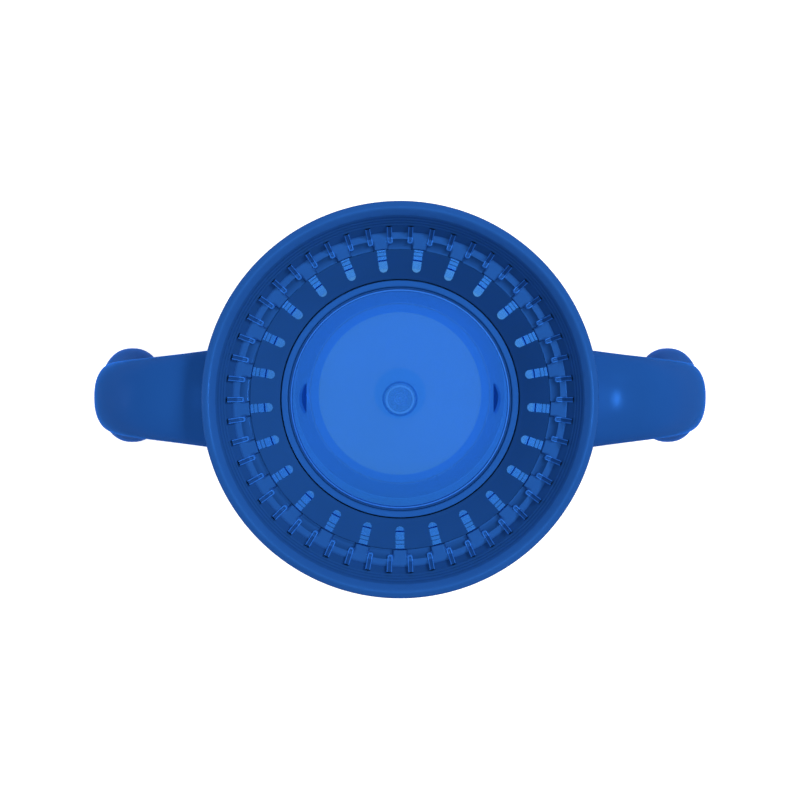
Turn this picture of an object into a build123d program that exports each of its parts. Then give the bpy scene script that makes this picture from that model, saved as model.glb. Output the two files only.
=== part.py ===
from build123d import *
import os
from math import atan2, cos, degrees, pi, radians, sin

# Two-handled cup with a sunken, slotted lid. Millimetres, +Z up.
# The origin is the centre of the foot ring's underside; the handles lie along X.

# ---- Driving dimensions ----
HEIGHT = 94.0            # table to the top of the drinking rim
RIM_R = 41.0             # outside of the rim and the lid's skirt
RIM_INNER_R = 38.1       # where the rim's crown meets the inner wall
CREST_R = 39.6           # the ridge round the top of the rim
SHELF_DEPTH = 6.0        # rim top down to the flat shelf
SHELF_OUTER_R = 34.8     # where the inner wall meets the shelf
BASKET_R = 31.4          # outside of the slotted basket
CONE_INNER_R = 25.27     # bore of the slotted basket
CONE_DROP = 6.6          # fall of the cone from its outer to its inner edge
SLOT_COUNT = 25
SLOT_WIDTH = 1.84
SLOT_INNER_R = 26.8
BAND_R = 40.6            # outside of the handle ring
CUP_FLOOR = 6.0          # inside bottom above the table
BORE_R = 31.8            # bore of the cup's mouth
NECK_R = 33.2            # outside of the cup's neck
SHOULDER_Z = 68.0        # top of the shoulder that carries the handle ring
FOOT_R = 25.6
SCREW_LEAD = 12.0        # rise of the lid in one turn
SCREW_STARTS = 3

# ---- Levels worked out from them ----
SHELF_Z = HEIGHT - SHELF_DEPTH
LID_UNDER_Z = SHELF_Z - 3.8
GASKET_T = 1.4
MOUTH_Z = LID_UNDER_Z - GASKET_T
SKIRT_Z = HEIGHT - 10.0
BAND_TOP_Z = SKIRT_Z - 0.2
BASKET_SEAT_Z = SHELF_Z - 3.0
RING_SEAT_Z = SHELF_Z - 8.4
PITCH_ANGLE = 360 / SLOT_COUNT
FIRST_SLOT = -90         # one slot points straight along -Y


def turned(corners):
    """A solid of revolution about Z from (radius, height, corner rounding) points."""
    points = [(r, z) for r, z, _ in corners]
    outline = FilletPolyline(*points, radius=[c[2] for c in corners], close=True)
    return revolve(make_face(Plane.XZ * outline), Axis.Z)


def around(count, first_angle=0.0):
    """The count places spread evenly round the Z axis, the first at first_angle."""
    return [Rot(0, 0, first_angle + 360 / count * i) for i in range(count)]


def arc_block(inner, outer, arc, height):
    """A block bent round Z, centred on +X and on z = 0, spanning arc degrees."""
    half = arc / 2
    blank = Cylinder(outer, height) - Cylinder(inner, height)
    reach = outer * 1.5
    wedge = make_face(Polyline((0, 0), *[
        (reach * cos(radians(a)), reach * sin(radians(a))) for a in (-half, 0, half)
    ], close=True))
    return blank & extrude(wedge, height, both=True)


def thread_ridge(inner, outer, arc, height, angle, z):
    """One short stretch of screw thread: a bent block tilted to the screw's slope."""
    slope = degrees(atan2(SCREW_LEAD, 2 * pi * (inner + outer) / 2))
    return Pos(0, 0, z) * Rot(0, 0, angle) * Rot(slope, 0, 0) * arc_block(inner, outer, arc, height)


# ---- Cup ----
WALL = 1.9
SLAB = 2.4               # thickness of the bottom
CORNER_AT_R, CORNER_R = 29.9, 12.0   # where wall and floor would meet, and how far that is rounded
STEP_LOW_Z = 37.0        # two shallow ring steps inside the wall
STEP_HIGH_Z = 67.0
SHOULDER_R = 38.6
DIMPLE_R = 6.2
RIDGE_T = 1.6            # height of a thread ridge
RIDGE_Z = 79.0
RIDGE_ARC = 80
THREAD_R, LUG_R = 34.6, 33.6         # crests of the cup's ridges and of the lid's lugs
KEY_W, KEY_H = 5.0, 2.0
KEY_R = 36.7             # the keys' distance from the axis


def cup_body():
    body = turned([
        (0, CUP_FLOOR, 0),
        (CORNER_AT_R, CUP_FLOOR, CORNER_R),
        (31.3, STEP_LOW_Z, 0),
        (30.95, STEP_LOW_Z + 0.4, 0),
        (30.8, STEP_HIGH_Z, 0),
        (BORE_R, STEP_HIGH_Z + 0.5, 0),
        (BORE_R, MOUTH_Z, 0.4),
        (NECK_R, MOUTH_Z, 0.6),
        (NECK_R, SHOULDER_Z, 0),
        (SHOULDER_R, SHOULDER_Z, 0.8),
        (SHOULDER_R, SHOULDER_Z - 2.6, 1.2),
        (30.8 + WALL, SHOULDER_Z - 8.5, 5.0),
        (31.3 + WALL, STEP_LOW_Z, 20.0),
        (CORNER_AT_R + WALL, CUP_FLOOR - SLAB, CORNER_R + WALL),
        (0, CUP_FLOOR - SLAB, 0),
    ])
    body += turned([
        (FOOT_R, CUP_FLOOR, 0),
        (FOOT_R, 0, 1.0),
        (FOOT_R - 3.3, 0, 1.0),
        (FOOT_R - 3.9, CUP_FLOOR - SLAB + 0.5, 0),
        (FOOT_R - 3.9, CUP_FLOOR, 0),
    ])
    cap_r = (DIMPLE_R**2 + 0.9**2) / (2 * 0.9)
    dimple = Pos(0, 0, CUP_FLOOR + 0.9 - cap_r) * Sphere(cap_r)
    body += dimple & (Pos(0, 0, CUP_FLOOR) * Cylinder(DIMPLE_R, 4))
    for k in range(SCREW_STARTS):
        body += thread_ridge(NECK_R - 0.5, THREAD_R, RIDGE_ARC, RIDGE_T, 120 * k + 30, RIDGE_Z)
    key = Pos(0, KEY_R, SHOULDER_Z + KEY_H / 2) * Box(KEY_W, 2.6, KEY_H)
    for side in around(2):
        body += side * key
    return body


# ---- Handle ring and handles ----
BAND_BORE_R = 36.8
LIP_R = 35.0
TENON = (2.2, 9.0, 5.0)
ARM_Z = 79.4             # height of the arm's middle where it leaves the ring
# Centre line of one handle: distance out, height, half width, half thickness.
HANDLE_STATIONS = [
    (37.5, ARM_Z, 10.6, 4.2),
    (41.0, ARM_Z - 0.1, 10.2, 4.2),
    (46.0, ARM_Z - 0.7, 9.55, 4.35),
    (52.2, ARM_Z - 2.9, 8.85, 4.5),
    (57.8, ARM_Z - 7.6, 8.25, 4.6),
    (61.4, ARM_Z - 14.6, 7.75, 4.7),
    (62.8, ARM_Z - 23.6, 7.4, 4.8),
    (62.9, ARM_Z - 32.4, 7.2, 4.8),
    (62.6, ARM_Z - 37.4, 7.3, 4.8),
]
GRIP_STATIONS = [
    (62.6, ARM_Z - 37.4, 7.3, 4.8),
    (62.36, ARM_Z - 41.4, 8.8, 5.9),
    (62.2, ARM_Z - 46.0, 10.4, 7.0),
    (62.0, ARM_Z - 50.0, 10.9, 7.2),
    (61.4, ARM_Z - 54.0, 10.2, 6.7),
    (60.7, ARM_Z - 57.2, 8.2, 5.3),
    (60.2, ARM_Z - 59.0, 5.2, 3.4),
    (60.0, ARM_Z - 59.5, 3.0, 2.0),
]
CORE_LENGTH, CORE_HALF_W, CORE_HALF_T = 14.0, 4.6, 2.6


def handle_sections(stations):
    """Ellipses square to the centre line through the stations."""
    sections = []
    last = len(stations) - 1
    for i, (x, z, half_w, half_t) in enumerate(stations):
        before, after = stations[max(i - 1, 0)], stations[min(i + 1, last)]
        along = Vector(after[0] - before[0], 0, after[1] - before[1])
        place = Plane(origin=(x, 0, z), x_dir=(0, 1, 0), z_dir=along)
        sections.append(place * Ellipse(half_w, half_t))
    return sections


def grip_core():
    """The stub of the handle that the soft grip is pushed over."""
    x, z, _, _ = GRIP_STATIONS[0]
    tip = (GRIP_STATIONS[3][0], GRIP_STATIONS[3][1])
    place = Plane(origin=(x, 0, z), x_dir=(0, 1, 0), z_dir=(tip[0] - x, 0, tip[1] - z))
    stub = place * Pos(0, 0, -1) * RectangleRounded(2 * CORE_HALF_W, 2 * CORE_HALF_T, 1.2)
    return extrude(stub, CORE_LENGTH)


def tenon():
    depth, width, height = TENON
    return Pos(BAND_R - depth / 2, 0, ARM_Z) * Box(depth, width, height)


def handle():
    arm = loft(handle_sections(HANDLE_STATIONS))
    arm -= Pos(0, 0, ARM_Z) * Cylinder(BAND_R, 40)
    return arm + grip_core() + (tenon() + Pos(1, 0, 0) * tenon())


def grip():
    return loft(handle_sections(GRIP_STATIONS)) - grip_core()


def handle_ring():
    ring = turned([
        (BAND_R, BAND_TOP_Z, 0.8),
        (BAND_BORE_R, BAND_TOP_Z, 0.4),
        (BAND_BORE_R, SHOULDER_Z + 3.6, 0),
        (LIP_R, SHOULDER_Z + 3.6, 0.3),
        (LIP_R, SHOULDER_Z, 0.3),
        (BAND_R, SHOULDER_Z, 1.2),
    ])
    notch = Pos(0, KEY_R - 0.5, SHOULDER_Z + KEY_H / 2) * Box(KEY_W + 0.6, 4.4, KEY_H + 0.8)
    for side in around(2):
        ring -= side * notch
        ring -= side * tenon()
    return ring


# ---- Drinking lid ----
SLEEVE_R, SLEEVE_BORE_R = 36.4, 35.0
SLEEVE_Z = 72.6
LEDGE_R = 30.3
FIN_T = 1.1
FIN_NOSE_R, FIN_KNEE_R, FIN_BACK_R = 32.35, 33.8, 35.8
FIN_TOP = 3.3            # fin height above the shelf at its back
SCOOP_OUTER_R = 33.4
SCOOP_DEPTH = 1.7
PLATEAU_HALF = 1.25      # half width of the land left standing in line with each slot


def scoop():
    """The hollow in the shelf between two slots, along +X: level at the seam and curving up at its back."""
    inner, outer = BASKET_R - 0.4, SCOOP_OUTER_R + 0.1
    spread = sin(radians(PITCH_ANGLE / 2))
    inner_half = inner * spread - PLATEAU_HALF
    outer_half = outer * spread - PLATEAU_HALF
    plan = make_face(Polyline((inner, inner_half), (outer, outer_half), (outer, -outer_half),
                              (inner, -inner_half), close=True))
    hollow = turned([
        (inner, SHELF_Z - SCOOP_DEPTH, 0),
        (SCOOP_OUTER_R, SHELF_Z - SCOOP_DEPTH, SCOOP_DEPTH - 0.1),
        (SCOOP_OUTER_R, SHELF_Z + 1, 0),
        (inner, SHELF_Z + 1, 0),
    ])
    return (Pos(0, 0, SHELF_Z - 3) * extrude(plan, 6)) & hollow


def fin():
    """One upright rib on the shelf, along +X, standing just clear of the inner wall."""
    side = make_face(Plane.XZ * Polyline(
        (FIN_NOSE_R, SHELF_Z - 2.2), (FIN_NOSE_R, SHELF_Z + 0.15), (FIN_KNEE_R, SHELF_Z + 0.35),
        (FIN_BACK_R, SHELF_Z + FIN_TOP), (FIN_BACK_R, SHELF_Z - 2.2), close=True))
    return extrude(side, FIN_T / 2, both=True)


def drinking_lid():
    lid = turned([
        (RIM_INNER_R, HEIGHT - 1.1, 0.25),
        (CREST_R, HEIGHT + 0.226, 0.8),
        (RIM_R, HEIGHT - 0.8, 0.6),
        (RIM_R, SKIRT_Z, 0.5),
        (RIM_R - 2.0, SKIRT_Z, 0),
        (RIM_R - 2.0, SHELF_Z + 0.6, 0.8),
        (SLEEVE_R, SHELF_Z + 0.6, 0.8),
        (SLEEVE_R, SLEEVE_Z, 0.4),
        (SLEEVE_BORE_R, SLEEVE_Z, 0.4),
        (SLEEVE_BORE_R, LID_UNDER_Z, 0),
        (BORE_R - 0.3, LID_UNDER_Z, 0),
        (BORE_R - 0.3, LID_UNDER_Z - 1.4, 0.2),
        (LEDGE_R, LID_UNDER_Z - 1.4, 0),
        (LEDGE_R, BASKET_SEAT_Z, 0),
        (BASKET_R + 0.05, BASKET_SEAT_Z, 0),
        (BASKET_R + 0.05, SHELF_Z, 0),
        (SHELF_OUTER_R, SHELF_Z, 0.6),
    ])
    between = around(SLOT_COUNT, FIRST_SLOT + PITCH_ANGLE / 2)
    lid -= [place * scoop() for place in between]
    for side in (-1, 1):
        lid += [place * fin() for place in around(SLOT_COUNT, FIRST_SLOT + side * PITCH_ANGLE / 4)]
    notch = Pos(30.8, 0, BASKET_SEAT_Z - 1.4) * Box(1.5, SLOT_WIDTH + 0.2, 3.4)
    lid -= [place * notch for place in around(SLOT_COUNT, FIRST_SLOT)]
    for k in range(SCREW_STARTS):
        lid += thread_ridge(LUG_R, SLEEVE_BORE_R + 0.4, RIDGE_ARC / 2, RIDGE_T, 120 * k + 30, RIDGE_Z - 2.0)
    return lid


def lid_gasket():
    return turned([
        (BORE_R + 0.1, MOUTH_Z, 0.3), (THREAD_R, MOUTH_Z, 0.3),
        (THREAD_R, LID_UNDER_Z, 0.3), (BORE_R + 0.1, LID_UNDER_Z, 0.3),
    ])


# ---- Slotted basket and the clear middle ----
CONE_T = 2.35            # thickness of the cone, measured upright
RING_R, RING_BORE_R = 25.0, 22.8
SEAL_R, SEAL_LIP_R, SEAL_LIP_H = 23.45, 23.28, 0.9
WINDOW_R = 23.15
WINDOW_TOP_Z = HEIGHT - 12.3
WINDOW_T = 1.2
LEG_Z = HEIGHT - 28.0
LEG_X, LEG_T, LEG_HALF_W = 20.3, 1.0, 3.15
STEM_TOP_Z = HEIGHT - 6.0
STEM_FOOT_Z = HEIGHT - 20.8


def slotted_basket():
    cone_z = SHELF_Z - CONE_DROP
    slope = CONE_DROP / (BASKET_R - CONE_INNER_R)
    collar_r = SLOT_INNER_R - 0.2
    step_r = LEDGE_R - 0.2
    basket = turned([
        (BASKET_R, SHELF_Z, 0.15),
        (BASKET_R, BASKET_SEAT_Z, 0.2),
        (step_r, BASKET_SEAT_Z, 0),
        (step_r, SHELF_Z - (BASKET_R - step_r) * slope - CONE_T, 0.3),
        (collar_r, SHELF_Z - (BASKET_R - collar_r) * slope - CONE_T, 0.3),
        (collar_r, RING_SEAT_Z - 1.4, 0.3),
        (RING_BORE_R + 1.1, RING_SEAT_Z - 1.4, 0.3),
        (RING_BORE_R + 1.1, RING_SEAT_Z, 0),
        (CONE_INNER_R, RING_SEAT_Z, 0),
        (CONE_INNER_R, cone_z, 0.35),
    ])
    end = SLOT_INNER_R + SLOT_WIDTH / 2
    slot_plan = Pos(end, 0) * Circle(SLOT_WIDTH / 2)
    slot_plan += Pos((end + 33) / 2, 0) * Rectangle(33 - end, SLOT_WIDTH)
    cutter = Pos(0, 0, RING_SEAT_Z - 5) * extrude(slot_plan, 20)
    return basket - [place * cutter for place in around(SLOT_COUNT, FIRST_SLOT)]


def retaining_ring():
    return turned([
        (RING_R, SHELF_Z - CONE_DROP + 0.1, 0.3),
        (RING_R, RING_SEAT_Z, 0),
        (RING_R - 1.3, RING_SEAT_Z, 0),
        (RING_R - 1.3, RING_SEAT_Z - 0.9, 0.2),
        (RING_BORE_R, RING_SEAT_Z - 0.9, 0.2),
        (RING_BORE_R, WINDOW_TOP_Z - WINDOW_T - 0.5, 0),
        (RING_R - 1.4, WINDOW_TOP_Z - WINDOW_T - 0.5, 0),
        (RING_R - 1.4, SHELF_Z - CONE_DROP + 0.1, 0.3),
    ])


def window_seal():
    low = WINDOW_TOP_Z - WINDOW_T
    return turned([
        (RING_BORE_R + 0.05, low - 0.5, 0), (SEAL_R, low - 0.5, 0), (SEAL_R, low + SEAL_LIP_H, 0.05),
        (SEAL_LIP_R, low + SEAL_LIP_H, 0.05), (SEAL_LIP_R, low, 0), (RING_BORE_R + 0.05, low, 0),
    ])


def window_disc():
    disc = turned([
        (3.3, WINDOW_TOP_Z, 0), (WINDOW_R, WINDOW_TOP_Z, 0.4),
        (WINDOW_R, WINDOW_TOP_Z - WINDOW_T, 0), (3.3, WINDOW_TOP_Z - WINDOW_T, 0),
    ])
    plan = make_face(
        Line((LEG_X, LEG_HALF_W), (LEG_X, -LEG_HALF_W))
        + ThreePointArc((LEG_X, -LEG_HALF_W), (LEG_X + LEG_T, 0), (LEG_X, LEG_HALF_W))
    )
    leg = Pos(0, 0, LEG_Z) * extrude(plan, WINDOW_TOP_Z - 0.4 - LEG_Z)
    for side in around(2):
        disc += side * leg
    return disc


def pull_stem():
    low = WINDOW_TOP_Z - WINDOW_T
    return turned([
        (0, STEM_FOOT_Z, 0), (1.9, STEM_FOOT_Z, 0.5), (2.7, low - 1.2, 0.5),
        (3.7, low - 0.7, 0.3), (3.7, low, 0), (3.3, low, 0), (3.3, WINDOW_TOP_Z, 0),
        (3.1, STEM_TOP_Z, 0.29), (2.5, STEM_TOP_Z, 0.29), (1.3, STEM_FOOT_Z + 0.8, 0),
        (0.35, STEM_FOOT_Z + 0.8, 0), (0.3, STEM_FOOT_Z + 1.1, 0), (0, STEM_FOOT_Z + 1.1, 0),
    ])


def main():
    os.makedirs("parts", exist_ok=True)
    right_arm, right_grip = handle(), grip()
    half_turn = Rot(0, 0, 180)
    parts = {
        "cup_body": cup_body(),
        "handle_ring": handle_ring(),
        "right_handle": right_arm,
        "left_handle": half_turn * right_arm,
        "right_grip": right_grip,
        "left_grip": half_turn * right_grip,
        "drinking_lid": drinking_lid(),
        "lid_gasket": lid_gasket(),
        "slotted_basket": slotted_basket(),
        "retaining_ring": retaining_ring(),
        "window_seal": window_seal(),
        "window_disc": window_disc(),
        "pull_stem": pull_stem(),
    }
    for node, shape in parts.items():
        export_step(shape, f"parts/{node}.step")


main()
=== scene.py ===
"""Two-handled cup with a sunken, slotted lid: the looks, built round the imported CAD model.

The mesh code works in millimetres and the scene in metres, in the CAD's frame: +Z up, handles along X,
one lid slot along -Y.
"""
import math

import bmesh
import bpy
from mathutils import Matrix, Vector


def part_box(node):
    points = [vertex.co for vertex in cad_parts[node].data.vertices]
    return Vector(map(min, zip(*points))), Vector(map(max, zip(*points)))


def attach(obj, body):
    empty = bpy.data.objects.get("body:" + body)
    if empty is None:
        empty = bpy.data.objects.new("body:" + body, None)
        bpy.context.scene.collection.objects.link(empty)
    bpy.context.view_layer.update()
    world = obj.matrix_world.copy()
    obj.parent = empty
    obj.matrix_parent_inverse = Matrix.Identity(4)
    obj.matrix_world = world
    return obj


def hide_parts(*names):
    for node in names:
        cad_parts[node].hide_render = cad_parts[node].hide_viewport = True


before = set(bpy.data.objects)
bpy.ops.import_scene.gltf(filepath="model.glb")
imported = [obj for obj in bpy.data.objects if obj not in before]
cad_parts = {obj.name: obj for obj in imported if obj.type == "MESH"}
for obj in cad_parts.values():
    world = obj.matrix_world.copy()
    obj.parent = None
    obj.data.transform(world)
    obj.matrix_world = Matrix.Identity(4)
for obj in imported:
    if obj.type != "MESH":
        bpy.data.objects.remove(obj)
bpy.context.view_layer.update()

MM = 0.001


def node_box(name):
    """Lowest and highest corner of a CAD node, in millimetres."""
    low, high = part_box(name)
    return low / MM, high / MM


# ---- Driving dimensions, read from the frame, in millimetres ----
LID_LOW, LID_HIGH = node_box("drinking_lid")
BAND_LOW, BAND_HIGH = node_box("handle_ring")
WINDOW_LOW, WINDOW_HIGH = node_box("window_disc")
STEM_LOW, STEM_HIGH = node_box("pull_stem")
GASKET_LOW, GASKET_HIGH = node_box("lid_gasket")
BASKET_HIGH = node_box("slotted_basket")[1]

TOP = LID_HIGH.z              # top of the drinking rim
RIM_R = LID_HIGH.x
SHELF = BASKET_HIGH.z         # the lid's flat shelf and the basket's outer edge
BASKET_R = BASKET_HIGH.x
RING_TOP = node_box("retaining_ring")[1].z
MOUTH = node_box("cup_body")[1].z
SHOULDER = BAND_LOW.z         # the handle ring stands on the cup's shoulder
SLOTS = 25
SECTOR = math.tau / SLOTS
FIRST_SLOT = -math.pi / 2


# ---- Mesh helpers ----
def rounded(corners, closed=True, step=math.radians(12)):
    """(radius, height) points along an outline given as (radius, height, rounding) corners."""
    points = []
    count = len(corners)
    for i, (r, z, rounding) in enumerate(corners):
        here = Vector((r, z))
        if not rounding or (not closed and i in (0, count - 1)):
            points.append(here)
            continue
        to_last = Vector(corners[i - 1][:2]) - here
        to_next = Vector(corners[(i + 1) % count][:2]) - here
        a, b = to_last.normalized(), to_next.normalized()
        opening = a.angle(b)
        reach = rounding / math.tan(opening / 2)
        reach = min(reach, to_last.length * 0.98, to_next.length * 0.98)
        radius = reach * math.tan(opening / 2)
        middle = here + (a + b).normalized() * (radius / math.sin(opening / 2))
        start, end = here + a * reach, here + b * reach
        sweep = math.pi - opening
        steps = max(2, math.ceil(sweep / step))
        turn = (start - middle).angle_signed(end - middle)
        for k in range(steps + 1):
            rotated = (start - middle).copy()
            rotated.rotate(Matrix.Rotation(-turn * k / steps, 2))
            points.append(middle + rotated)
    kept = []
    for p in points:
        if not kept or (p - kept[-1]).length > 1e-4:
            kept.append(p)
    if closed and (kept[0] - kept[-1]).length < 1e-4:
        kept.pop()
    return [(p.x, p.y) for p in kept]


def finish_mesh(name, bm, sharp=35):
    """The object for a bmesh in millimetres, smooth-shaded with its real edges kept."""
    bmesh.ops.remove_doubles(bm, verts=bm.verts, dist=1e-4)
    bmesh.ops.recalc_face_normals(bm, faces=bm.faces)
    mesh = bpy.data.meshes.new(name)
    bm.to_mesh(mesh)
    bm.free()
    mesh.transform(Matrix.Scale(MM, 4))
    mesh.polygons.foreach_set("use_smooth", [True] * len(mesh.polygons))
    mesh.set_sharp_from_angle(angle=math.radians(sharp))
    piece = bpy.data.objects.new(name, mesh)
    bpy.context.scene.collection.objects.link(piece)
    weighted = piece.modifiers.new("even_shading", "WEIGHTED_NORMAL")
    weighted.keep_sharp = True
    weighted.weight = 80
    return piece


def loops_to_faces(bm, loops, wrap_loops, wrap_points):
    """Quads between neighbouring loops of equal length."""
    count = len(loops[0])
    for i in range(len(loops) if wrap_loops else len(loops) - 1):
        one, two = loops[i], loops[(i + 1) % len(loops)]
        for k in range(count if wrap_points else count - 1):
            corners = [one[k], one[(k + 1) % count], two[(k + 1) % count], two[k]]
            unique = list(dict.fromkeys(corners))
            if len(unique) > 2:
                bm.faces.new(unique)


def closed_bar(bm, loops):
    """Faces along a run of closed loops, and over its two ends."""
    loops_to_faces(bm, loops, False, True)
    bm.faces.new(loops[0])
    bm.faces.new(loops[-1])


def add_turned(bm, outline, segments=200):
    """Turns an outline of (radius, height) points round Z into bm. Points on the axis become poles."""
    poles = {i: bm.verts.new((0, 0, z)) for i, (r, z) in enumerate(outline) if r < 1e-6}
    loops = []
    for s in range(segments):
        angle = FIRST_SLOT + math.tau * s / segments
        c, d = math.cos(angle), math.sin(angle)
        loops.append([
            poles[i] if i in poles else bm.verts.new((r * c, r * d, z))
            for i, (r, z) in enumerate(outline)
        ])
    loops_to_faces(bm, loops, True, not poles)


def turned(name, corners, segments=200):
    bm = bmesh.new()
    add_turned(bm, rounded(corners), segments)
    return finish_mesh(name, bm)


THREAD_Z, LUG_Z = 79.0, 77.0  # middles of the cup's screw ridges and of the lid's lugs under them
THREAD_R, LUG_R = 34.6, 33.8  # crests of the cup's ridges and of the lid's lugs
SCREW_SLOPE = 12 / math.tau   # rise of the screw in one radian of turning
SCREW_STARTS = [math.radians(30 + 120 * k) for k in range(3)]
RIDGE_H, RIDGE_BEVEL = 1.6, 0.3


def add_ridge(bm, inner, outer, start, half_arc, z):
    """A short stretch of screw thread, climbing round Z, with bevelled crest and closed ends."""
    half = RIDGE_H / 2
    section = [(inner, -half), (outer, -half + RIDGE_BEVEL), (outer, half - RIDGE_BEVEL), (inner, half)]
    if inner > outer:
        section.reverse()
    steps = math.ceil(half_arc * 2 / math.radians(2))
    loops = []
    for k in range(steps + 1):
        turn = half_arc * (2 * k / steps - 1)
        angle = start + turn
        loops.append([
            bm.verts.new((r * math.cos(angle), r * math.sin(angle), z + dz + SCREW_SLOPE * turn))
            for r, dz in section
        ])
    closed_bar(bm, loops)


# ---- Materials ----
GLOSS_TINT = (0.04, 0.25, 1.0)
EDGE_GLOW = (0.02, 0.20, 1.0)


def noise(tree, place, scale, detail):
    """A noise pattern fixed to the piece."""
    node = tree.nodes.new("ShaderNodeTexNoise")
    node.inputs["Scale"].default_value = scale
    node.inputs["Detail"].default_value = detail
    tree.links.new(place.outputs["Object"], node.inputs["Vector"])
    return node.outputs["Fac"]


def colour_drift(tree, place, base, mottle):
    """The base colour, drifting a little darker and lighter."""
    colours = tree.nodes.new("ShaderNodeValToRGB")
    dark, light = colours.color_ramp.elements
    dark.position = 0.3
    dark.color = (*[c * (1 - mottle) for c in base], 1)
    light.position = 0.7
    light.color = (*[min(1, c * (1 + mottle)) for c in base], 1)
    tree.links.new(noise(tree, place, 38, 3), colours.inputs["Fac"])
    return colours.outputs["Color"]


def uneven_polish(tree, place, rough):
    """A roughness that wanders a little either side of rough."""
    gloss = tree.nodes.new("ShaderNodeMapRange")
    gloss.inputs["To Min"].default_value = rough * 0.8
    gloss.inputs["To Max"].default_value = rough * 1.25
    tree.links.new(noise(tree, place, 160, 4), gloss.inputs["Value"])
    return gloss.outputs["Result"]


def fine_grain(tree, place, strength):
    """The faint grain of a moulded surface."""
    bump = tree.nodes.new("ShaderNodeBump")
    bump.inputs["Strength"].default_value = strength
    bump.inputs["Distance"].default_value = 0.00003
    tree.links.new(noise(tree, place, 900, 2), bump.inputs["Height"])
    return bump.outputs["Normal"]


def let_light_through(tree, shader, tint, share):
    """Mixes the plastic with plain see-through that tints a share of the light."""
    clear = tree.nodes.new("ShaderNodeBsdfTransparent")
    clear.inputs["Color"].default_value = (*tint, 1)
    mix = tree.nodes.new("ShaderNodeMixShader")
    mix.inputs["Fac"].default_value = share
    tree.links.new(shader.outputs["BSDF"], mix.inputs[1])
    tree.links.new(clear.outputs["BSDF"], mix.inputs[2])
    tree.links.new(mix.outputs["Shader"], tree.nodes["Material Output"].inputs["Surface"])


def plastic(name, base, rough, specular=0.6, mottle=0.05, grain=0.2, edge_glow=0.0,
            tint=None, see_through=0.0):
    """Moulded plastic: faint colour drift, uneven polish, a fine grain, and see-through if asked."""
    made = bpy.data.materials.new(name)
    made.use_nodes = True
    tree = made.node_tree
    shader = tree.nodes["Principled BSDF"]
    shader.inputs["Specular IOR Level"].default_value = specular
    shader.inputs["IOR"].default_value = 1.5
    shader.inputs["Specular Tint"].default_value = (*GLOSS_TINT, 1)
    shader.inputs["Sheen Weight"].default_value = edge_glow
    shader.inputs["Sheen Roughness"].default_value = 0.35
    shader.inputs["Sheen Tint"].default_value = (*EDGE_GLOW, 1)
    place = tree.nodes.new("ShaderNodeTexCoord")
    tree.links.new(colour_drift(tree, place, base, mottle), shader.inputs["Base Color"])
    tree.links.new(uneven_polish(tree, place, rough), shader.inputs["Roughness"])
    tree.links.new(fine_grain(tree, place, grain), shader.inputs["Normal"])
    if see_through:
        let_light_through(tree, shader, tint, see_through)
    return made


materials = {}


def look(name, base, rough, **finish):
    materials[name] = plastic(name, base, rough, **finish)


HANDLE = {"edge_glow": 0.4}
DISC = {"specular": 0.3, "grain": 0.05, "mottle": 0.02}
CUP = {"specular": 0.4, "grain": 0.06, "mottle": 0.02}
CUP_LINE = {"specular": 0.3, "grain": 0.06, "mottle": 0.02}

look("lid_blue", (0.0118, 0.0680, 0.262), 0.20)
# a lighter copy of the lid's blue, painted on the rim as light
look("rim_painted_light", (0.0148, 0.0850, 0.330), 0.20)
# lighter blue painted on the fins' edges and noses as a highlight
look("lid_fin_painted_highlight", (0.0240, 0.1500, 0.600), 0.25)
look("basket_blue", (0.0116, 0.0665, 0.250), 0.22)
look("ring_blue", (0.0115, 0.0740, 0.300), 0.20)
look("handle_blue", (0.0120, 0.0760, 0.305), 0.22, **HANDLE)
look("grip_blue", (0.0125, 0.0790, 0.315), 0.38, grain=0.5, **HANDLE)
look("seal_rubber", (0.0115, 0.0700, 0.28), 0.4, grain=0.4)
# near-black blue painted in the fins' slits and in the gap round the ring as shade
look("painted_gap_shade", (0.0015, 0.0060, 0.022), 0.5, specular=0.1)
look("leg_blue", (0.0180, 0.0800, 0.235), 0.25, tint=(0.25, 0.5, 0.9), see_through=0.08)
look("stem_blue", (0.02, 0.12, 0.50), 0.15, **DISC, tint=(0.62, 0.79, 0.955), see_through=0.93)
# lighter, less see-through blue painted on the stem's lip, well edge and pip as highlights
look("stem_painted_highlight", (0.036, 0.190, 0.68), 0.15, **DISC, tint=(0.9, 0.95, 1.0), see_through=0.42)
# lighter blue painted round the window's rim as a highlight
look("window_painted_highlight", (0.045, 0.24, 0.90), 0.15, **DISC, tint=(0.9, 0.95, 1.0), see_through=0.30)
look("window_clear", (0.02, 0.12, 0.50), 0.08, **DISC, tint=(0.60, 0.80, 0.98), see_through=0.95)
look("cup_clear_blue", (0.022, 0.130, 0.50), 0.12, **CUP, tint=(0.228, 0.550, 0.96), see_through=0.74)
# lighter and darker copies of the cup's clear blue, one for each region (bottom corner, floor, dimple,
# under the foot), painted as light and shade
look("cup_corner_blue", (0.022, 0.130, 0.50), 0.12, **CUP, tint=(0.345, 0.66, 0.95), see_through=0.74)
look("cup_floor_blue", (0.030, 0.165, 0.62), 0.12, **CUP, tint=(0.51, 0.78, 0.94), see_through=0.70)
look("cup_punt_blue", (0.020, 0.145, 0.58), 0.12, **CUP, tint=(0.355, 0.745, 0.97), see_through=0.70)
look("cup_foot_blue", (0.022, 0.126, 0.48), 0.2, **CUP, tint=(0.336, 0.638, 0.93), see_through=0.66)
# lighter blue painted on the inner side of the foot as a highlight line
look("cup_foot_painted_highlight", (0.040, 0.205, 0.75), 0.2, **CUP, tint=(0.52, 0.79, 0.97), see_through=0.55)
# dark blue painted on the edges of the ring steps as shade
look("cup_step_painted_shade", (0.006, 0.036, 0.14), 0.2, **CUP_LINE, tint=(0.15, 0.35, 0.7), see_through=0.45)


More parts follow.
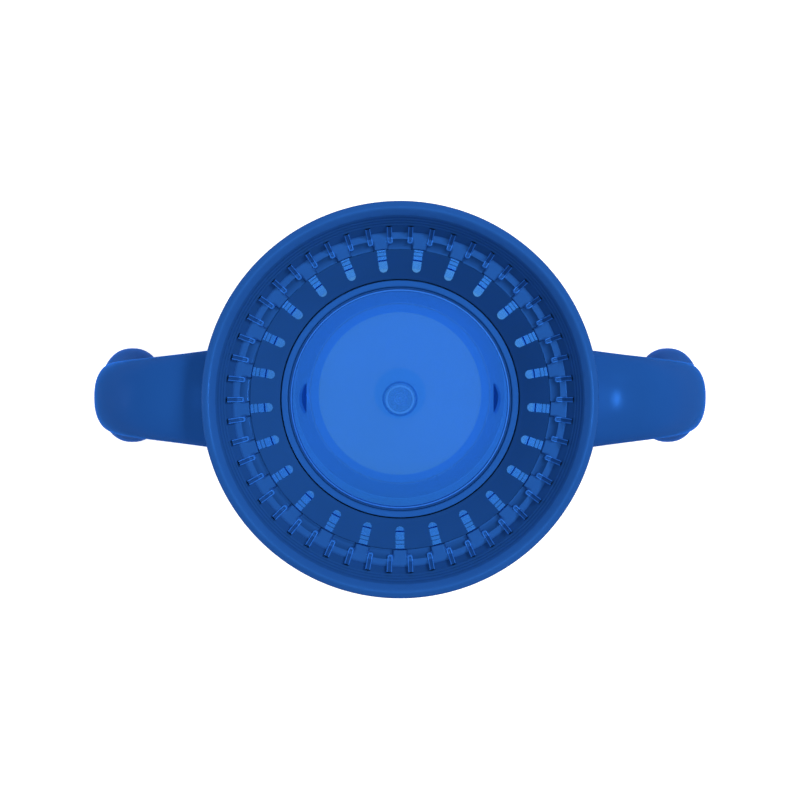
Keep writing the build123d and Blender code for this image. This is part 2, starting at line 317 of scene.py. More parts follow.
def second_look(piece, name, chosen):
    """Another material for the faces whose middle, in millimetres, passes chosen(radius, height, angle)."""
    piece.data.materials.append(materials[name])
    slot = len(piece.data.materials) - 1
    for face in piece.data.polygons:
        x, y, z = face.center / MM
        if chosen(math.hypot(x, y), z, math.atan2(y, x)):
            face.material_index = slot


def dress(piece, body, slot, *nodes):
    """Gives a finished piece its material and its place on the CAD's bodies."""
    piece.data.materials.clear()
    piece.data.materials.append(materials[slot])
    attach(piece, body)
    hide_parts(*nodes)
    return piece


# ---- Drinking lid ----
WALL_TOP = (38.1, TOP - 1.1)
CREST_R, CREST_RISE = 39.6, 0.226     # the rim's two slopes would meet this far above its rounded ridge
SKIRT_BORE_R, SKIRT_LOW = RIM_R - 2, TOP - 10
SLEEVE_R, SLEEVE_BORE_R = 36.4, 35.0  # the sleeve screws over the cup's neck
SLEEVE_TOP = SHELF + 0.6
UNDERSIDE = SHELF - 3.8
LEDGE_R, LEDGE_OUTER_R, LEDGE_LOW = 30.3, 31.5, SHELF - 5.2
SEAT_R, SEAT = 31.45, SHELF - 3.0     # the basket's outer edge sits here
EDGE = 0.14                   # rounding of the small edges
PLATEAU_HALF = 1.25           # half width of the flat land in line with each slot
PLATEAU_ROUND = 0.4
SCOOP_R, SCOOP_DEPTH, SCOOP_CURVE = 33.4, 1.5, 2.2
SHELF_R = 34.8
CREASE_R, CREASE, CREASE_HALF = 34.85, 0.16, 0.13  # fine groove where the shelf meets the wall
RIPPLE_R, RIPPLE, RIPPLE_PITCH = 36.1, 0.07, 0.5   # faint rings moulded round the wall above the fins
FIN_ANGLE = SECTOR / 4        # a fin stands this far round on each side of a slot
FIN_HALF = 0.55
FIN_RIM = 0.24                # width of the edge round a fin's top, which is painted lighter as a highlight
FIN_NOSE_R, FIN_KNEE_R, FIN_BACK_R = 32.35, 33.8, 35.8
FIN_FOOT, FIN_TOP = 0.3, 3.3  # a fin's height above the shelf at its knee and at its back
FIN_ROUND = 0.12              # rounding along a fin's top
NOSE_ROUND, NOSE_DROP = 0.55, 0.9
HOLLOW, HOLLOW_START, HOLLOW_RUN = 0.22, 0.5, 0.3  # the shallow dish in a fin's top, and where it begins
FIN_GAP = 0.24                # slit between a fin's back and the wall
SLIT_FOOT, SLIT_SLOPE = 0.2, 9
NOTCH_HALF, NOTCH_R = 0.98, BASKET_R + 0.11        # the ledge is notched in line with each slot
LUG_HALF_ARC = math.radians(20)
LINE = 0.005                  # rows this far each side of a step keep it crisp


def quarter(x):
    """Height of a quarter round at x from 0 at its foot to 1 at its top."""
    x = min(1, max(0, x))
    return math.sqrt(1 - (1 - x) ** 2)


def wall_height(r):
    """The inner wall of the rim, curving up out of the shelf."""
    slope = (WALL_TOP[1] - SHELF) / (WALL_TOP[0] - SHELF_R)
    crease = CREASE * math.exp(-((r - CREASE_R) / CREASE_HALF) ** 2)
    ripple = RIPPLE * math.sin(math.tau * (r - RIPPLE_R) / RIPPLE_PITCH) if r > RIPPLE_R else 0
    return SHELF + slope * 0.5 * ((r - SHELF_R) + math.sqrt((r - SHELF_R) ** 2 + 0.02)) - crease + ripple


def shelf_height(r, t):
    """The shelf at radius r, t mm round from a slot's middle: plateaus, and scoops between them."""
    if r > SCOOP_R:
        return wall_height(r)
    depth = SCOOP_DEPTH * (1 - ((r - BASKET_R) / (SCOOP_R - BASKET_R)) ** SCOOP_CURVE)
    side = quarter(1 - (t - PLATEAU_HALF) / PLATEAU_ROUND)
    seam = EDGE * (1 - quarter((r - BASKET_R) / EDGE))
    return SHELF - depth * (1 - side) - seam * side


def fin_half(r):
    """Half width of a fin at radius r: its nose is round in plan."""
    before = max(0, FIN_NOSE_R + FIN_HALF - r) / FIN_HALF
    return FIN_HALF * math.sqrt(max(0.06, 1 - before**2))


def fin_height(r, s):
    """Top of a fin at radius r, s mm in from its side, or the bottom of the slit behind it."""
    if s < 0 or not FIN_NOSE_R <= r <= FIN_BACK_R + FIN_GAP:
        return None
    if r > FIN_BACK_R:
        return SHELF + SLIT_FOOT + SLIT_SLOPE * (r - FIN_BACK_R)
    rise = max(0, (r - FIN_KNEE_R) / (FIN_BACK_R - FIN_KNEE_R))
    top = SHELF + FIN_FOOT + (FIN_TOP - FIN_FOOT) * rise
    nose = quarter((r - FIN_NOSE_R) / NOSE_ROUND)
    begun = min(1, max(0, (r - FIN_NOSE_R - HOLLOW_START) / HOLLOW_RUN))
    hollow = HOLLOW * quarter((s - FIN_RIM) / FIN_ROUND) * begun
    return top - FIN_ROUND * (1 - quarter(s / FIN_ROUND)) - NOSE_DROP * (1 - nose) - hollow


def relief_height(r, t):
    """The lid's upper side at radius r, t mm round from a slot's middle."""
    ground = shelf_height(r, t)
    fin = fin_height(r, fin_half(r) - abs(t - r * FIN_ANGLE))
    if fin is None:
        return ground
    return fin if r > FIN_BACK_R else max(ground, fin)


def sector_offsets(r):
    """Places round half a sector at radius r, from the slot's middle, one on every feature's edge."""
    half = r * SECTOR / 2
    fin = r * FIN_ANGLE
    across_fin = [-0.02, 0.01, 0.06, FIN_ROUND, FIN_RIM, FIN_RIM + FIN_ROUND, FIN_HALF]
    lines = [0, NOTCH_HALF, NOTCH_HALF + 0.03]
    lines += [PLATEAU_HALF + PLATEAU_ROUND * f for f in (0, 0.5, 0.8, 1)]
    shrink = fin_half(r) / FIN_HALF
    lines += [fin - (FIN_HALF - a) * shrink for a in across_fin]
    lines += [fin + (FIN_HALF - a) * shrink for a in across_fin[:-1]]
    clear = fin + FIN_HALF + 0.05
    lines += [clear + (half - clear) * k / 2 for k in range(3)]
    return sorted(lines)


SHELF_ROWS = [
    # the rounded edge beside the basket, and the scoops' floor
    BASKET_R, 31.43, 31.47, BASKET_R + EDGE, 31.7, 32.0,
    # the fins' round noses, and the scoops' outer end
    FIN_NOSE_R - 0.01, FIN_NOSE_R + 0.01, 32.4, 32.48, 32.6, 32.75, 32.88, 33.0, 33.15, 33.28, 33.36,
    SCOOP_R, 33.5, FIN_KNEE_R, 34.2, 34.55,
    # the crease, and the foot of the wall
    34.7, 34.78, 34.86, 34.95, 35.05, 35.2, 35.5,
    # the fins' backs, and the slits behind them
    FIN_BACK_R - LINE, FIN_BACK_R + LINE, FIN_BACK_R + FIN_GAP - LINE, FIN_BACK_R + FIN_GAP + LINE,
]
SHELF_ROWS += [RIPPLE_R + RIPPLE_PITCH * k / 4 for k in range(1, 15)]


def lid_outside():
    """The rest of the lid's section: the rim, skirt, sleeve and ledge, and round to the basket's seat."""
    join = (RIM_R, TOP - 5, 0)
    over = rounded([
        (*WALL_TOP, 0.25), (CREST_R, TOP + CREST_RISE, 0.8), (RIM_R, TOP - 0.8, 0.6), join,
    ], closed=False, step=math.radians(28))
    under = rounded([
        join, (RIM_R, SKIRT_LOW, 0.5), (SKIRT_BORE_R, SKIRT_LOW, 0.3), (SKIRT_BORE_R, SLEEVE_TOP, 0.8),
        (SLEEVE_R, SLEEVE_TOP, 0.8), (SLEEVE_R, LID_LOW.z, 0.4), (SLEEVE_BORE_R, LID_LOW.z, 0.4),
        (SLEEVE_BORE_R, UNDERSIDE, 0.3), (LEDGE_OUTER_R, UNDERSIDE, 0.3), (LEDGE_OUTER_R, LEDGE_LOW, 0.2),
        (LEDGE_R, LEDGE_LOW, 0.2), (LEDGE_R, SEAT, 0.2), (SEAT_R, SEAT, 0),
    ], closed=False, step=math.radians(46))
    return over + under[1:]


def drinking_lid():
    """The lid: shelf, scoops and fins as a fine relief, and the rest of its section turned."""
    outside = lid_outside()
    offsets = {r: sector_offsets(r) for r in SHELF_ROWS}
    places = len(offsets[BASKET_R])
    bm = bmesh.new()
    loops = []
    for s in range(SLOTS):
        middle = FIRST_SLOT + SECTOR * s
        for k in range(-(places - 1), places - 1):
            loop = []
            side = -1 if k < 0 else 1
            for r in SHELF_ROWS:
                t = offsets[r][abs(k)]
                angle = middle + side * t / r
                loop.append(bm.verts.new((r * math.cos(angle), r * math.sin(angle), relief_height(r, t))))
            t = offsets[BASKET_R][abs(k)]
            angle = middle + side * t / BASKET_R
            for r, z in outside:
                if r < NOTCH_R and t < NOTCH_HALF + 0.01:
                    r = NOTCH_R
                loop.append(bm.verts.new((r * math.cos(angle), r * math.sin(angle), z)))
            loops.append(loop)
    loops_to_faces(bm, loops, True, True)
    for start in SCREW_STARTS:
        add_ridge(bm, LUG_R, SLEEVE_BORE_R + 0.4, start, LUG_HALF_ARC, LUG_Z)
    return finish_mesh("lid_shell", bm, 40)


def off_slot(angle):
    """How far round an angle is from the nearest slot's middle."""
    return abs((angle - FIRST_SLOT + SECTOR / 2) % SECTOR - SECTOR / 2)


def on_fin_painted_highlight(r, z, angle):
    """Whether a face of the lid's relief is on the edge round the top of a fin, which is painted lighter as
    a highlight.
    """
    if not FIN_NOSE_R < r < FIN_BACK_R or z < SHELF - 0.9:
        return False
    inset = FIN_HALF - abs(off_slot(angle) - FIN_ANGLE) * r
    return 0 < inset and (inset < FIN_RIM or r < FIN_NOSE_R + 0.45)


# the rim and the outside of the skirt, where the lid's blue is painted lighter as light
def on_rim(r, z, angle):
    return r > WALL_TOP[0] and z > SKIRT_LOW - 2


def in_fin_slit(r, z, angle):
    """Whether a face of the lid's relief is in the slit between a fin's back and the wall, which is painted
    near-black as shade.
    """
    beside = abs(off_slot(angle) - FIN_ANGLE) * r < FIN_HALF
    return FIN_BACK_R < r < FIN_BACK_R + FIN_GAP and beside and z > SHELF


lid = dress(drinking_lid(), "lid", "lid_blue", "drinking_lid")
second_look(lid, "lid_fin_painted_highlight", on_fin_painted_highlight)
second_look(lid, "rim_painted_light", on_rim)
second_look(lid, "painted_gap_shade", in_fin_slit)


# ---- Slotted basket ----
CONE_INNER_R, CONE_DROP, CONE_T = 25.27, 6.6, 2.35
SLOT_HALF, SLOT_INNER_R = 0.92, 26.8
SEAM = 0.22                   # open line between the basket's edge and the lid
RING_SEAT = SHELF - 8.4       # the ledge that the retaining ring sits on
GAP_FOOT_R = 25.14            # the gap round the ring narrows downwards to here
COLLAR_R = 26.55
SEAT_LEDGE_R, SEAT_LEDGE_T = 23.9, 1.4


def cone_height(r):
    return SHELF - CONE_DROP * (BASKET_R - r) / (BASKET_R - CONE_INNER_R)


def on_cone(bm, r, angle):
    return bm.verts.new((r * math.cos(angle), r * math.sin(angle), cone_height(r)))


def slotted_cone():
    """The basket's cone with its slots, thickened downwards."""
    bm = bmesh.new()
    round_at = SLOT_INNER_R + SLOT_HALF
    rim = BASKET_R - SEAM
    outer_rows = [28.4, 29.2, 30.0, 30.8, rim - 0.4, rim]

    def inner_rows(end):
        return [CONE_INNER_R + (end - CONE_INNER_R) * f for f in (0, 0.3, 0.6, 0.85, 1)]

    for s in range(SLOTS):
        middle = FIRST_SLOT + SECTOR * s
        below_slot = []
        for k in range(13):
            t = -SLOT_HALF * math.cos(math.pi * k / 12)
            end = round_at - math.sqrt(max(0, SLOT_HALF**2 - t * t))
            below_slot.append([on_cone(bm, r, middle + math.asin(t / r)) for r in inner_rows(end)])
        loops_to_faces(bm, below_slot, False, False)
        beside_slot = []
        for fraction in (0, 0.06, 0.35, 0.65, 0.94, 1):
            column = []
            for r in inner_rows(round_at) + outer_rows:
                half = math.asin(SLOT_HALF / r)
                column.append(on_cone(bm, r, middle + half + (SECTOR - 2 * half) * fraction))
            beside_slot.append(column)
        loops_to_faces(bm, beside_slot, False, False)
    bmesh.ops.remove_doubles(bm, verts=bm.verts, dist=1e-3)
    low = bmesh.ops.extrude_face_region(bm, geom=bm.faces[:])
    for v in low["geom"]:
        if isinstance(v, bmesh.types.BMVert):
            v.co.z -= CONE_T
    piece = finish_mesh("basket_cone", bm)
    bevel = piece.modifiers.new("soft_edges", "BEVEL")
    bevel.width = 0.3 * MM
    bevel.segments = 2
    bevel.limit_method = "ANGLE"
    bevel.angle_limit = math.radians(40)
    bevel.harden_normals = False
    piece.modifiers.move(1, 0)    # the bevel comes before the shading
    return piece


def basket_collar():
    """The basket's inner collar with the ledge that the ring sits on."""
    return turned("basket_collar", [
        (CONE_INNER_R, cone_height(CONE_INNER_R) - 0.3, 0),
        (COLLAR_R, cone_height(COLLAR_R) - 0.3, 0.1),
        (COLLAR_R, RING_SEAT - SEAT_LEDGE_T, 0.3), (SEAT_LEDGE_R, RING_SEAT - SEAT_LEDGE_T, 0.3),
        (SEAT_LEDGE_R, RING_SEAT, 0.1), (GAP_FOOT_R, RING_SEAT, 0),
    ])


def in_gap(r, z, angle):
    """Whether a face of the collar is the deep side of the gap round the ring, which is painted near-black
    as shade.
    """
    return GAP_FOOT_R < r < CONE_INNER_R and z > RING_SEAT


dress(slotted_cone(), "basket", "basket_blue", "slotted_basket")
collar = dress(basket_collar(), "basket", "basket_blue", "slotted_basket")
second_look(collar, "painted_gap_shade", in_gap)


# ---- Ring, seal, window and stem ----
WINDOW_R, WINDOW_TOP, WINDOW_T = 23.15, WINDOW_HIGH.z, 1.2
WINDOW_UNDER = WINDOW_TOP - WINDOW_T
RING_R, RING_BORE_R = 24.97, 22.8
RING_STEP_R, RING_RECESS_R = 23.7, 23.6
RING_LIP = 0.9                # the ring reaches this far below its seat
SEAL_R, SEAL_BORE_R, SEAL_T = 23.45, RING_BORE_R + 0.05, 0.5
SEAL_LIP_R, SEAL_LIP_H = 23.28, 0.9
RIM_HIGHLIGHT = 0.35              # the window's rim is painted lighter as a highlight this far in
LEG_AT, LEG_T, LEG_HALF, LEG_END = 20.3, 1.0, 3.15, 0.12
STEM_R, STEM_LIP_R, FLANGE_R = 3.3, 2.5, 3.7
WELL_R, WELL_FLOOR, PIP_R = 1.3, STEM_LOW.z + 0.8, 0.35


def retaining_ring():
    return turned("ring", [
        (RING_R, RING_TOP, 0.08), (GAP_FOOT_R - 0.03, RING_SEAT, 0), (RING_STEP_R, RING_SEAT, 0.1),
        (RING_STEP_R, RING_SEAT - RING_LIP, 0.2), (RING_BORE_R, RING_SEAT - RING_LIP, 0.2),
        (RING_BORE_R, WINDOW_UNDER - SEAL_T, 0.1), (RING_RECESS_R, WINDOW_UNDER - SEAL_T, 0.1),
        (RING_RECESS_R, RING_TOP, 0.3),
    ])


def window_seal():
    low, lip = WINDOW_UNDER - SEAL_T, WINDOW_UNDER + SEAL_LIP_H
    return turned("seal", [
        (SEAL_BORE_R, low, 0.1), (SEAL_R, low, 0.1), (SEAL_R, lip, 0.05),
        (SEAL_LIP_R, lip, 0.05), (SEAL_LIP_R, WINDOW_UNDER, 0), (SEAL_BORE_R, WINDOW_UNDER, 0),
    ])


def window_disc():
    return turned("window", [
        (STEM_R, WINDOW_TOP, 0), (WINDOW_R, WINDOW_TOP, 0.45),
        (WINDOW_R, WINDOW_UNDER, 0.15), (STEM_R, WINDOW_UNDER, 0),
    ])


def window_leg(side):
    """One leg under the window, D-shaped in section, with a slightly smaller end."""
    bm = bmesh.new()
    outline = [(LEG_AT, LEG_HALF * (1 - 2 * k / 8)) for k in range(9)]
    bulge = (LEG_HALF**2 + LEG_T**2) / (2 * LEG_T)
    reach = math.asin(LEG_HALF / bulge)
    for k in range(1, 16):
        a = -reach + 2 * reach * k / 16
        outline.append((LEG_AT + LEG_T - bulge + bulge * math.cos(a), bulge * math.sin(a)))
    middle = LEG_AT + LEG_T / 2
    loops = []
    for z, size in ((WINDOW_LOW.z, 0.94), (WINDOW_LOW.z + LEG_END, 1.0), (WINDOW_UNDER, 1.0)):
        loops.append([
            bm.verts.new((side * (middle + (x - middle) * size), side * y * size, z)) for x, y in outline
        ])
    closed_bar(bm, loops)
    return finish_mesh("window_leg_right" if side > 0 else "window_leg_left", bm)


def pull_stem():
    foot, flange = STEM_LOW.z, WINDOW_UNDER - 0.7
    return turned("stem", [
        (0, foot, 0), (1.9, foot, 0.5), (2.7, flange - 0.5, 0.5), (FLANGE_R, flange, 0.3),
        (FLANGE_R, WINDOW_UNDER, 0.1), (STEM_R, WINDOW_UNDER, 0), (STEM_R, WINDOW_TOP, 0.1),
        (3.1, STEM_HIGH.z, 0.29), (STEM_LIP_R, STEM_HIGH.z, 0.29), (WELL_R, WELL_FLOOR, 0.2),
        (PIP_R, WELL_FLOOR, 0.1), (PIP_R - 0.05, WELL_FLOOR + 0.3, 0.1), (0, WELL_FLOOR + 0.3, 0),
    ], 96)


def on_stem_painted_highlight(r, z, angle):
    """Whether a face of the stem is on its lip, on the edge of its well's floor or on the pip, which are
    painted lighter as highlights.
    """
    in_well = z < WELL_FLOOR + 0.4
    return z > STEM_HIGH.z - 0.04 or (in_well and (1.05 < r < 1.4 or r < 0.33))


dress(retaining_ring(), "window", "ring_blue", "retaining_ring")
dress(window_seal(), "window", "seal_rubber", "window_seal")
disc = dress(window_disc(), "window", "window_clear", "window_disc")
second_look(disc, "window_painted_highlight", lambda r, z, angle: r > WINDOW_R - RIM_HIGHLIGHT)
for side in (1, -1):
    leg = dress(window_leg(side), "window", "window_clear", "window_disc")
    second_look(leg, "leg_blue", lambda r, z, angle: z < WINDOW_LOW.z + LEG_END + 0.01)
stem = dress(pull_stem(), "window", "stem_blue", "pull_stem")
second_look(stem, "stem_painted_highlight", on_stem_painted_highlight)


# ---- Gasket ----
GASKET_BORE_R, GASKET_R = 31.9, 34.6

dress(turned("gasket", [
    (GASKET_BORE_R, GASKET_LOW.z, 0.4), (GASKET_R, GASKET_LOW.z, 0.4),
    (GASKET_R, GASKET_HIGH.z, 0.4), (GASKET_BORE_R, GASKET_HIGH.z, 0.4),
]), "gasket", "seal_rubber", "lid_gasket")


# ---- Handles ----
ARM_Z = 79.4                  # middle of the arms where they leave the band
# A station is (distance from the axis, height, half width, half thickness).
HANDLE_STATIONS = [
    (38.6, ARM_Z, 10.5, 4.2), (41.0, ARM_Z - 0.1, 10.2, 4.2), (46.0, ARM_Z - 0.7, 9.55, 4.35),
    (52.2, ARM_Z - 2.9, 8.85, 4.5), (57.8, ARM_Z - 7.6, 8.25, 4.6), (61.4, ARM_Z - 14.6, 7.75, 4.7),
    (62.8, ARM_Z - 23.6, 7.4, 4.8), (62.9, ARM_Z - 32.4, 7.2, 4.8), (62.6, ARM_Z - 37.4, 7.3, 4.8),
]
GRIP_STATIONS = [
    (62.6, ARM_Z - 37.4, 7.3, 4.8), (62.36, ARM_Z - 41.4, 8.8, 5.9), (62.2, ARM_Z - 46.0, 10.4, 7.0),
    (62.0, ARM_Z - 50.0, 10.9, 7.2), (61.4, ARM_Z - 54.0, 10.2, 6.7), (60.7, ARM_Z - 57.2, 8.2, 5.3),
    (60.2, ARM_Z - 59.0, 5.2, 3.4), (60.0, ARM_Z - 59.5, 3.0, 2.0),
]
SQUARENESS = 2.3              # 2 would make the section an ellipse


def through(stations, per_span=8):
    """Smooth in-between stations (Catmull-Rom)."""
    rows = [Vector(s) for s in stations]
    made = []
    for i in range(len(rows) - 1):
        p0, p1, p2 = rows[max(i - 1, 0)], rows[i], rows[i + 1]
        p3 = rows[min(i + 2, len(rows) - 1)]
        for k in range(per_span):
            t = k / per_span
            made.append(0.5 * (2 * p1 + (p2 - p0) * t + (2 * p0 - 5 * p1 + 4 * p2 - p3) * t**2
                               + (3 * p1 - p0 - 3 * p2 + p3) * t**3))
    made.append(rows[-1])
    return made


def squared(x):
    return math.copysign(abs(x) ** (2 / SQUARENESS), x)


def swept(name, stations, side, around=56):
    """A bent bar through the stations, its section a slightly squared ellipse."""
    bm = bmesh.new()
    rows = through(stations)
    loops = []
    for i, (x, z, half_w, half_t) in enumerate(rows):
        before, after = rows[max(i - 1, 0)], rows[min(i + 1, len(rows) - 1)]
        along = Vector((after[0] - before[0], after[1] - before[1])).normalized()
        out = Vector((-along.y, along.x))
        loop = []
        for k in range(around):
            a = math.tau * k / around
            u = squared(math.cos(a)) * half_w
            v = squared(math.sin(a)) * half_t
            loop.append(bm.verts.new((side * (x + out.x * v), side * u, z + out.y * v)))
        loops.append(loop)
    closed_bar(bm, loops)
    return finish_mesh(name, bm)


for side, word in ((1, "right"), (-1, "left")):
    dress(swept(f"{word}_arm", HANDLE_STATIONS, side), "handle_band", "handle_blue", f"{word}_handle")
    dress(swept(f"{word}_soft_grip", GRIP_STATIONS, side), "handle_band", "grip_blue", f"{word}_grip")


# ---- Handle ring ----
BAND_R, BAND_BORE_R, BAND_LIP_R = 40.6, 36.8, 35.0
BAND_LIP_TOP = SHOULDER + 3.6
NOTCH_OUTER_R = 38.4          # the notches over the cup's keys stop here
KEY_AT, KEY_W, KEY_DEPTH, KEY_H = 36.7, 5.0, 2.6, 2.0
KEY_ROOT = 0.4                # a key is sunk this far into the shoulder
KEY_GAP, KEY_HEADROOM = 0.3, 0.8      # room beside and above a key in its notch
STEEP = 1.001                 # a notch's side goes up between its end and this many times as far round


def band():
    """The ring round the cup's neck, with a notch in its foot over each of the cup's two keys."""
    outline = rounded([
        (BAND_R, BAND_HIGH.z, 0.8), (BAND_BORE_R, BAND_HIGH.z, 0.4), (BAND_BORE_R, BAND_LIP_TOP, 0.3),
        (BAND_LIP_R, BAND_LIP_TOP, 0.3), (BAND_LIP_R, SHOULDER, 0.3), (NOTCH_OUTER_R, SHOULDER, 0),
        (BAND_R, SHOULDER, 1.2),
    ])
    notch_half = math.atan2(KEY_W / 2 + KEY_GAP, KEY_AT)
    notch_top = SHOULDER + KEY_H + KEY_HEADROOM
    ends = [side * math.pi / 2 + end * notch_half for side in (-1, 1) for end in (-STEEP, -1, 1, STEEP)]
    angles = [FIRST_SLOT + math.tau * (k + 0.5) / 200 for k in range(200)]
    angles += [a if a >= FIRST_SLOT else a + math.tau for a in ends]
    bm = bmesh.new()
    loops = []
    for angle in sorted(angles):
        off_key = abs((angle + math.pi) % math.pi - math.pi / 2)
        in_notch = off_key < notch_half * (1 + STEEP) / 2
        loop = []
        for r, z in outline:
            if in_notch and r < NOTCH_OUTER_R + 0.05:
                z = max(z, notch_top)
            loop.append(bm.verts.new((r * math.cos(angle), r * math.sin(angle), z)))
        loops.append(loop)
    loops_to_faces(bm, loops, True, True)
    return finish_mesh("band", bm)


dress(band(), "handle_band", "handle_blue", "handle_ring")


# ---- Cup ----
FLOOR, SLAB, WALL = 6.0, 2.4, 1.9
UNDER = FLOOR - SLAB
NECK_R, BORE_R, SHOULDER_R = 33.2, 31.8, 38.6
CORNER_R = 29.9               # where wall and floor would meet
CORNER_TOP = 14.0             # the cup's bottom corner, painted lighter as light, reaches up to here
STEP_LOW_Z, STEP_HIGH_Z = 37.0, 67.0   # two ring steps inside the wall
FLAT_R = 19.7                 # the level middle of the floor
DIMPLE_R = 6.2
FOOT_R, FOOT_BORE_R, FOOT_TOP_R = 25.6, 22.3, 21.7
FOOT_EDGE = 0.9               # the foot's rounded edge reaches up to here
RIDGE_HALF_ARC = math.radians(40)


def cup_shell():
    bm = bmesh.new()
    add_turned(bm, rounded([
        (0, FLOOR + 0.9, 0), (3.0, FLOOR + 0.75, 1.0), (DIMPLE_R - 0.3, FLOOR + 0.3, 0),
        (DIMPLE_R, FLOOR, 0), (FLAT_R, FLOOR, 0),
        (CORNER_R, FLOOR + 0.35, 10.0), (31.3, STEP_LOW_Z, 0.1), (30.95, STEP_LOW_Z + 0.4, 0.1),
        (30.8, STEP_HIGH_Z, 0), (31.0, STEP_HIGH_Z + 0.1, 0), (31.65, STEP_HIGH_Z + 0.4, 0),
        (BORE_R, STEP_HIGH_Z + 0.5, 0.1), (BORE_R, MOUTH, 0.4), (NECK_R, MOUTH, 0.6),
        (NECK_R, SHOULDER, 0.4), (SHOULDER_R, SHOULDER, 0.8), (SHOULDER_R, SHOULDER - 2.6, 1.2),
        (32.7, SHOULDER - 8.5, 5.0), (33.2, STEP_LOW_Z, 20.0), (CORNER_R + WALL, UNDER, 13.9),
        (FOOT_R, UNDER, 0), (FOOT_R, 0, 1.0), (FOOT_BORE_R, 0, 1.0), (FOOT_TOP_R, UNDER, 0.5),
        (FLAT_R, UNDER, 0), (0, UNDER, 0),
    ]))
    for start in SCREW_STARTS:
        add_ridge(bm, NECK_R - 0.5, THREAD_R, start, RIDGE_HALF_ARC, THREAD_Z)
    return finish_mesh("cup_shell", bm)


def cup_key(side):
    """The lug on the cup's shoulder that stops the handle ring from turning."""
    bm = bmesh.new()
    place = Matrix.Translation((0, side * KEY_AT, SHOULDER + (KEY_H - KEY_ROOT) / 2))
    size = Matrix.Diagonal((KEY_W, KEY_DEPTH, KEY_H + KEY_ROOT, 1))
    bmesh.ops.create_cube(bm, size=1, matrix=place @ size)
    bmesh.ops.bevel(bm, geom=bm.edges[:], offset=0.3, segments=3, affect="EDGES", profile=0.5)
    return finish_mesh("cup_key_front" if side < 0 else "cup_key_back", bm)


def on_corner(r, z, angle):
    return z < CORNER_TOP and r > FLAT_R


def on_floor(r, z, angle):
    return z < FLOOR + 0.1 and r < FLAT_R


def on_punt(r, z, angle):
    """Whether a face is on the dimple in the middle of the floor."""
    return FLOOR + 0.1 < z < FLOOR + 1 and r < DIMPLE_R


def under_foot(r, z, angle):
    return z < FOOT_EDGE and r > FOOT_BORE_R - 0.1


# the foot's inner side, painted lighter as a highlight
def inside_foot(r, z, angle):
    return FOOT_EDGE < z < UNDER and FOOT_TOP_R - 0.1 < r < FOOT_BORE_R


def on_step(r, z, angle):
    """Whether a face is on the edge of one of the two ring steps inside the wall, which is painted dark as
    shade.
    """
    low = STEP_LOW_Z - 0.1 < z < STEP_LOW_Z + 0.45
    high = STEP_HIGH_Z < z < STEP_HIGH_Z + 0.1 or STEP_HIGH_Z + 0.4 < z < STEP_HIGH_Z + 0.6
    return (low or high) and r < BORE_R


cup = dress(cup_shell(), "cup", "cup_clear_blue", "cup_body")
# the cup's blue painted lighter or darker by region, as light and shade
second_look(cup, "cup_corner_blue", on_corner)
second_look(cup, "cup_floor_blue", on_floor)
second_look(cup, "cup_punt_blue", on_punt)
second_look(cup, "cup_foot_blue", under_foot)
second_look(cup, "cup_foot_painted_highlight", inside_foot)
second_look(cup, "cup_step_painted_shade", on_step)
for side in (1, -1):
    dress(cup_key(side), "cup", "cup_clear_blue", "cup_body")


# ---- Floor, light and camera ----
STAGE_R = 3000
STAGE_GAP = 0.1               # the floor is this far below the cup's foot


def floor():
    bm = bmesh.new()
    place = Matrix.Translation((0, 0, -STAGE_GAP))
    bmesh.ops.create_circle(bm, cap_ends=True, segments=96, radius=STAGE_R, matrix=place)
    piece = finish_mesh("floor", bm)
    paint = bpy.data.materials.new("floor_paint")
    paint.use_nodes = True
    shader = paint.node_tree.nodes["Principled BSDF"]
    shader.inputs["Base Color"].default_value = (0.6, 0.6, 0.6, 1)
    shader.inputs["Roughness"].default_value = 0.9
    shader.inputs["Emission Color"].default_value = (1, 1, 1, 1)
    shader.inputs["Emission Strength"].default_value = 0.8
    piece.data.materials.append(paint)
    piece.visible_glossy = False


def soft_light(name, place, size, watts, aim=(0, 0, 80), glossy=True):
    """A round softbox. With glossy off it lights the plastic but isn't mirrored in it."""
    lamp = bpy.data.lights.new(name, "AREA")
    lamp.shape = "DISK"
    lamp.size = size * MM
    lamp.energy = watts
    holder = bpy.data.objects.new(name, lamp)
    holder.location = Vector(place) * MM
    holder.rotation_euler = (Vector(aim) - Vector(place)).to_track_quat("-Z", "Y").to_euler()
    holder.visible_glossy = glossy
    bpy.context.scene.collection.objects.link(holder)


def horizon_glow(tree):
    """What the gloss mirrors: blue near the horizon and nearly dark overhead."""
    glow = tree.nodes.new("ShaderNodeBackground")
    glow.inputs["Strength"].default_value = 0.35
    place = tree.nodes.new("ShaderNodeTexCoord")
    split = tree.nodes.new("ShaderNodeSeparateXYZ")
    tree.links.new(place.outputs["Generated"], split.inputs["Vector"])
    ramp = tree.nodes.new("ShaderNodeValToRGB")
    low, high = ramp.color_ramp.elements
    low.position = 0.05
    low.color = (0.06, 0.35, 1, 1)
    high.position = 0.8
    high.color = (0.01, 0.03, 0.05, 1)
    tree.links.new(split.outputs["Z"], ramp.inputs["Fac"])
    tree.links.new(ramp.outputs["Color"], glow.inputs["Color"])
    return glow


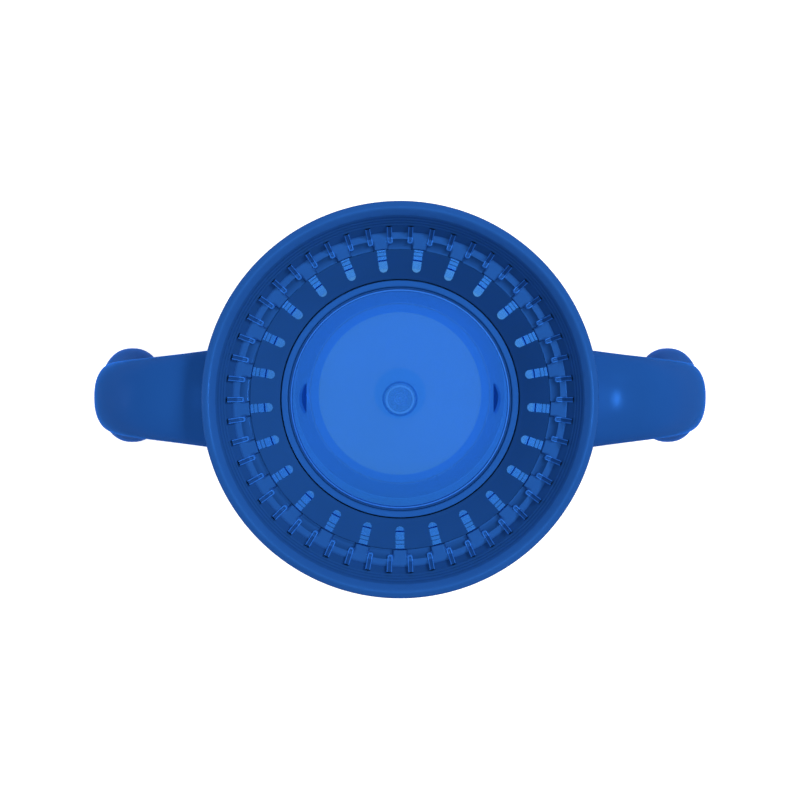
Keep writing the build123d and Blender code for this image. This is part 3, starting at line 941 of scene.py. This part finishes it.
def surroundings():
    """A weak even light, the glow for the gloss, and white where the camera sees past the floor."""
    world = bpy.data.worlds.new("studio")
    world.use_nodes = True
    tree = world.node_tree
    ambient = tree.nodes["Background"]
    ambient.inputs["Strength"].default_value = 0.09
    backdrop = tree.nodes.new("ShaderNodeBackground")
    backdrop.inputs["Color"].default_value = (1, 1, 1, 1)
    path = tree.nodes.new("ShaderNodeLightPath")
    shown = ambient
    for ray, other in (("Is Glossy Ray", horizon_glow(tree)), ("Is Camera Ray", backdrop)):
        mix = tree.nodes.new("ShaderNodeMixShader")
        tree.links.new(path.outputs[ray], mix.inputs["Fac"])
        tree.links.new(shown.outputs[0], mix.inputs[1])
        tree.links.new(other.outputs["Background"], mix.inputs[2])
        shown = mix
    tree.links.new(shown.outputs["Shader"], tree.nodes["World Output"].inputs["Surface"])
    bpy.context.scene.world = world


def studio():
    """Soft boxes overhead and at the back right, a low fill from the left, and a small lamp for the
    bright spot on the right-hand handle."""
    surroundings()
    soft_light("overhead", (0, 0, 2600), 420, 38.5, glossy=False)
    soft_light("softbox", (0, 0, 1600), 640, 1.7)
    soft_light("key", (760, 560, 1500), 420, 13.5, glossy=False)
    soft_light("spark", (512, -22, 1290), 130, 2.0)
    soft_light("fill", (-1500, 0, 90), 500, 6, glossy=False)
    bpy.context.scene.view_settings.view_transform = "Standard"


CAMERA_RISE = 500             # camera above the rim
CAMERA_SHIFT = 8.8            # and this far towards +Y, so that it looks down a degree off the axis
VIEW_WIDTH = 164.5            # width of the picture at the rim
SENSOR = 36


def camera():
    lens = bpy.data.cameras.new("camera")
    lens.sensor_width = SENSOR
    lens.lens = SENSOR * CAMERA_RISE / VIEW_WIDTH
    lens.clip_start = 0.01
    holder = bpy.data.objects.new("camera", lens)
    holder.location = Vector((0, CAMERA_SHIFT, TOP + CAMERA_RISE)) * MM
    holder.rotation_euler = (-math.atan2(CAMERA_SHIFT, CAMERA_RISE), 0, 0)
    bpy.context.scene.collection.objects.link(holder)
    bpy.context.scene.camera = holder


floor()
studio()
camera()
